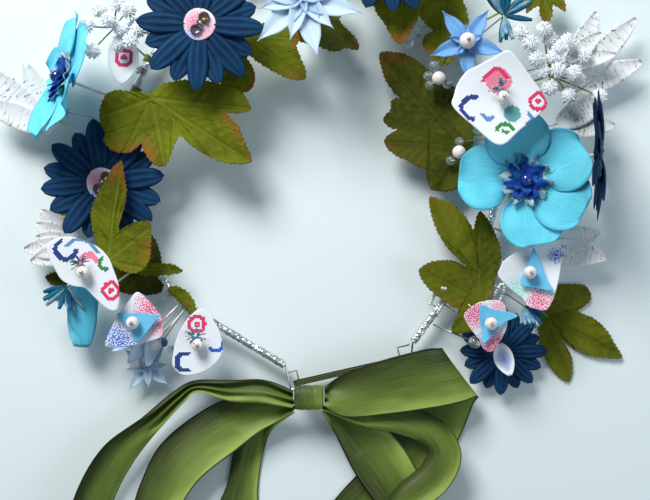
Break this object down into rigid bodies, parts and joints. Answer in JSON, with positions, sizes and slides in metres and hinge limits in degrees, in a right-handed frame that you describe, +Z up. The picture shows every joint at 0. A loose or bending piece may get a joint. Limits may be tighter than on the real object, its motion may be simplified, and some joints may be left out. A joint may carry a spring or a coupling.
{
  "type": "flower crown",
  "caption": "Open wire ring wrapped in foil, set with layered fabric flowers, leaves, printed petals and beads on wire stems, closed at the front by a wide green ribbon bow.",
  "frame": {"origin": "centre of the ring's arc, on the table that the crown lies on", "axes": "+Z up, out of the ring's plane; +Y from the bow towards the back of the ring; +X to the right, seen from above with the bow nearest"},
  "size_m": [0.2967, 0.3285, 0.0596],
  "materials": {
    "foil": "crinkled foil tape",
    "wire": "bright drawn wire",
    "leaf": "printed, matt, pressed veins",
    "daisy": "matt, ridged petals",
    "orchid": "matt, softly pleated",
    "rosette": "gathered print",
    "print_fabric": "matt cotton with coloured print",
    "pale_star": "satin",
    "blue_star": "satin",
    "ribbon": "satin with wired edges",
    "pearl": "pearl lacquer",
    "button": "glossy",
    "blossom": "moulded, matt",
    "paper": "translucent paper",
    "glass": "clear, faceted"
  },
  "bodies": {
    "crown_ring": {"babys_breath_left": "blossom", "babys_breath_right": "blossom", "bead_pin": "wire", "blue_triangle_lower": "orchid", "daisy_lower_right": "daisy", "daisy_right": "daisy", "foil_wrap": "foil", "leaf_back_right": "leaf", "leaf_back_top": "leaf", "leaf_left": "leaf", "leaf_lower_left": "leaf", "leaf_lower_right": "leaf", "leaf_mid_right": "leaf", "leaf_right": "leaf", "leaf_top_centre": "leaf", "leaf_top_left": "leaf", "leaf_top_right_low": "leaf", "pale_petals": "pale_star", "paper_petal_left": "paper", "paper_petal_right": "paper", "print_petal_back_left": "print_fabric", "print_petal_bow_left": "print_fabric", "print_petal_left": "print_fabric", "print_petal_lower_right": "print_fabric", "ring_wire": "wire"},
    "bow": {"bow_knot": "ribbon", "tie_band": "ribbon"},
    "bow_left": {"bow_loop_left": "ribbon"},
    "bow_right": {"bow_loop_right": "ribbon", "tail_right": "ribbon"},
    "bow_tail_left": {"tail_left": "ribbon"},
    "daisy_top_left_head": {"daisy_top_left": "daisy", "daisy_top_left_disc": "print_fabric", "daisy_top_left_button": "button"},
    "daisy_left_head": {"daisy_left": "daisy", "daisy_left_disc": "print_fabric", "daisy_left_button": "button"},
    "daisy_top_head": {"daisy_top": "daisy"},
    "star_top_head": {"star_top": "pale_star"},
    "star_right_head": {"star_right": "blue_star"},
    "orchid_left_head": {"orchid_left": "orchid", "orchid_left_centre": "rosette"},
    "orchid_right_head": {"orchid_right": "orchid", "orchid_right_centre": "rosette"},
    "print_petal_upper_right_head": {"print_petal_upper_right": "print_fabric"},
    "print_petal_right_head": {"print_petal_right": "print_fabric", "blue_triangle_right": "orchid"},
    "print_petal_lower_left_head": {"print_petal_lower_left": "print_fabric", "blue_triangle_left": "orchid"},
    "leaf_upper_left_head": {"leaf_upper_left": "leaf"},
    "leaf_top_right_head": {"leaf_top_right": "leaf"},
    "blue_bud_head": {"blue_bud": "orchid"},
    "pearl_upper_right_bead": {"pearl_upper_right": "pearl"},
    "pearl_left_bead": {"pearl_left": "pearl"},
    "pearl_lower_left_bead": {"pearl_lower_left": "pearl"},
    "pearl_bow_left_bead": {"pearl_bow_left": "pearl"},
    "pearl_right_bead": {"pearl_right": "pearl"},
    "pearl_lower_right_bead": {"pearl_lower_right": "pearl"},
    "pearl_star_bead": {"pearl_star": "pearl"},
    "glass_bead_slide": {"glass_bead": "glass"}
  },
  "joints": [
    {"name": "bow_swivel", "type": "hinge", "parent": "crown_ring", "child": "bow", "pos_m": [-0.0058, -0.101, 0.007], "axis": [0.975, 0.2221, 0], "range_deg": [-15, 12]},
    {"name": "left_loop_lift", "type": "hinge", "parent": "bow", "child": "bow_left", "pos_m": [-0.00815, -0.10876, 0.0155], "axis": [0, 1, 0], "range_deg": [0, 25]},
    {"name": "right_loop_lift", "type": "hinge", "parent": "bow", "child": "bow_right", "pos_m": [0.00625, -0.10876, 0.0165], "axis": [0, -1, 0], "range_deg": [0, 25]},
    {"name": "left_tail_swing", "type": "hinge", "parent": "bow", "child": "bow_tail_left", "pos_m": [-0.00815, -0.11296, 0.0105], "axis": [1, 0, 0], "range_deg": [0, 20]},
    {"name": "daisy_top_left_bend", "type": "hinge", "parent": "crown_ring", "child": "daisy_top_left_head", "pos_m": [-0.05614, 0.06711, 0.008], "axis": [-0.767, -0.6416, 0], "range_deg": [-6, 8]},
    {"name": "daisy_left_bend", "type": "hinge", "parent": "crown_ring", "child": "daisy_left_head", "pos_m": [-0.08689, -0.01029, 0.008], "axis": [0.1176, -0.9931, 0], "range_deg": [-6, 6]},
    {"name": "daisy_top_bend", "type": "hinge", "parent": "crown_ring", "child": "daisy_top_head", "pos_m": [0.03133, 0.0817, 0.008], "axis": [-0.9337, 0.3581, 0], "range_deg": [-8, 8]},
    {"name": "star_top_bend", "type": "hinge", "parent": "crown_ring", "child": "star_top_head", "pos_m": [-0.01132, 0.08676, 0.008], "axis": [-0.9916, -0.1294, 0], "range_deg": [-8, 8]},
    {"name": "star_right_bend", "type": "hinge", "parent": "crown_ring", "child": "star_right_head", "pos_m": [0.0721, 0.04957, 0.008], "axis": [-0.5665, 0.824, 0], "range_deg": [-8, 8]},
    {"name": "orchid_left_bend", "type": "hinge", "parent": "crown_ring", "child": "orchid_left_head", "pos_m": [-0.0834, 0.02647, 0.008], "axis": [-0.3025, -0.9532, 0], "range_deg": [-8, 5]},
    {"name": "orchid_right_bend", "type": "hinge", "parent": "crown_ring", "child": "orchid_right_head", "pos_m": [0.08701, -0.00928, 0.008], "axis": [0.1061, 0.9944, 0], "range_deg": [-8, 6]},
    {"name": "print_petal_upper_right_bend", "type": "hinge", "parent": "crown_ring", "child": "print_petal_upper_right_head", "pos_m": [0.08401, 0.02447, 0.008], "axis": [-0.2796, 0.9601, 0], "range_deg": [-8, 6]},
    {"name": "print_petal_right_bend", "type": "hinge", "parent": "crown_ring", "child": "print_petal_right_head", "pos_m": [0.07696, -0.04164, 0.008], "axis": [0.4759, 0.8795, 0], "range_deg": [-6, 6]},
    {"name": "print_petal_lower_left_bend", "type": "hinge", "parent": "crown_ring", "child": "print_petal_lower_left_head", "pos_m": [-0.06369, -0.06, 0.008], "axis": [0.6857, -0.7279, 0], "range_deg": [-8, 6]},
    {"name": "leaf_upper_left_bend", "type": "hinge", "parent": "crown_ring", "child": "leaf_upper_left_head", "pos_m": [-0.08132, 0.03231, 0.008], "axis": [-0.3692, -0.9293, 0], "range_deg": [-8, 6]},
    {"name": "leaf_top_right_bend", "type": "hinge", "parent": "crown_ring", "child": "leaf_top_right_head", "pos_m": [0.04524, 0.0749, 0.008], "axis": [-0.856, 0.517, 0], "range_deg": [-6, 8]},
    {"name": "blue_bud_bend", "type": "hinge", "parent": "crown_ring", "child": "blue_bud_head", "pos_m": [-0.07491, -0.04521, 0.008], "axis": [0.5167, -0.8562, 0], "range_deg": [-8, 6]},
    {"name": "pearl_upper_right_spin", "type": "hinge", "parent": "print_petal_upper_right_head", "child": "pearl_upper_right_bead", "pos_m": [0.08259, 0.02399, 0.0451], "axis": [0, 0, 1], "continuous": true},
    {"name": "pearl_left_spin", "type": "hinge", "parent": "crown_ring", "child": "pearl_left_bead", "pos_m": [-0.09953, -0.05115, 0.0341], "axis": [0, 0, 1], "continuous": true},
    {"name": "pearl_lower_left_spin", "type": "hinge", "parent": "print_petal_lower_left_head", "child": "pearl_lower_left_bead", "pos_m": [-0.07856, -0.07352, 0.0301], "axis": [0, 0, 1], "continuous": true},
    {"name": "pearl_bow_left_spin", "type": "hinge", "parent": "crown_ring", "child": "pearl_bow_left_bead", "pos_m": [-0.05037, -0.08383, 0.0231], "axis": [0, 0, 1], "continuous": true},
    {"name": "pearl_right_spin", "type": "hinge", "parent": "print_petal_right_head", "child": "pearl_right_bead", "pos_m": [0.09766, -0.05127, 0.0271], "axis": [0, 0, 1], "continuous": true},
    {"name": "pearl_lower_right_spin", "type": "hinge", "parent": "crown_ring", "child": "pearl_lower_right_bead", "pos_m": [0.07983, -0.07392, 0.0301], "axis": [0, 0, 1], "continuous": true},
    {"name": "pearl_star_spin", "type": "hinge", "parent": "star_right_head", "child": "pearl_star_bead", "pos_m": [0.06908, 0.05056, 0.0328], "axis": [0, 0, 1], "continuous": true},
    {"name": "glass_bead_run", "type": "slide", "parent": "crown_ring", "child": "glass_bead_slide", "axis": [0.8849, -0.3678, 0.2858], "range_m": [-0.005, 0]}
  ]
}
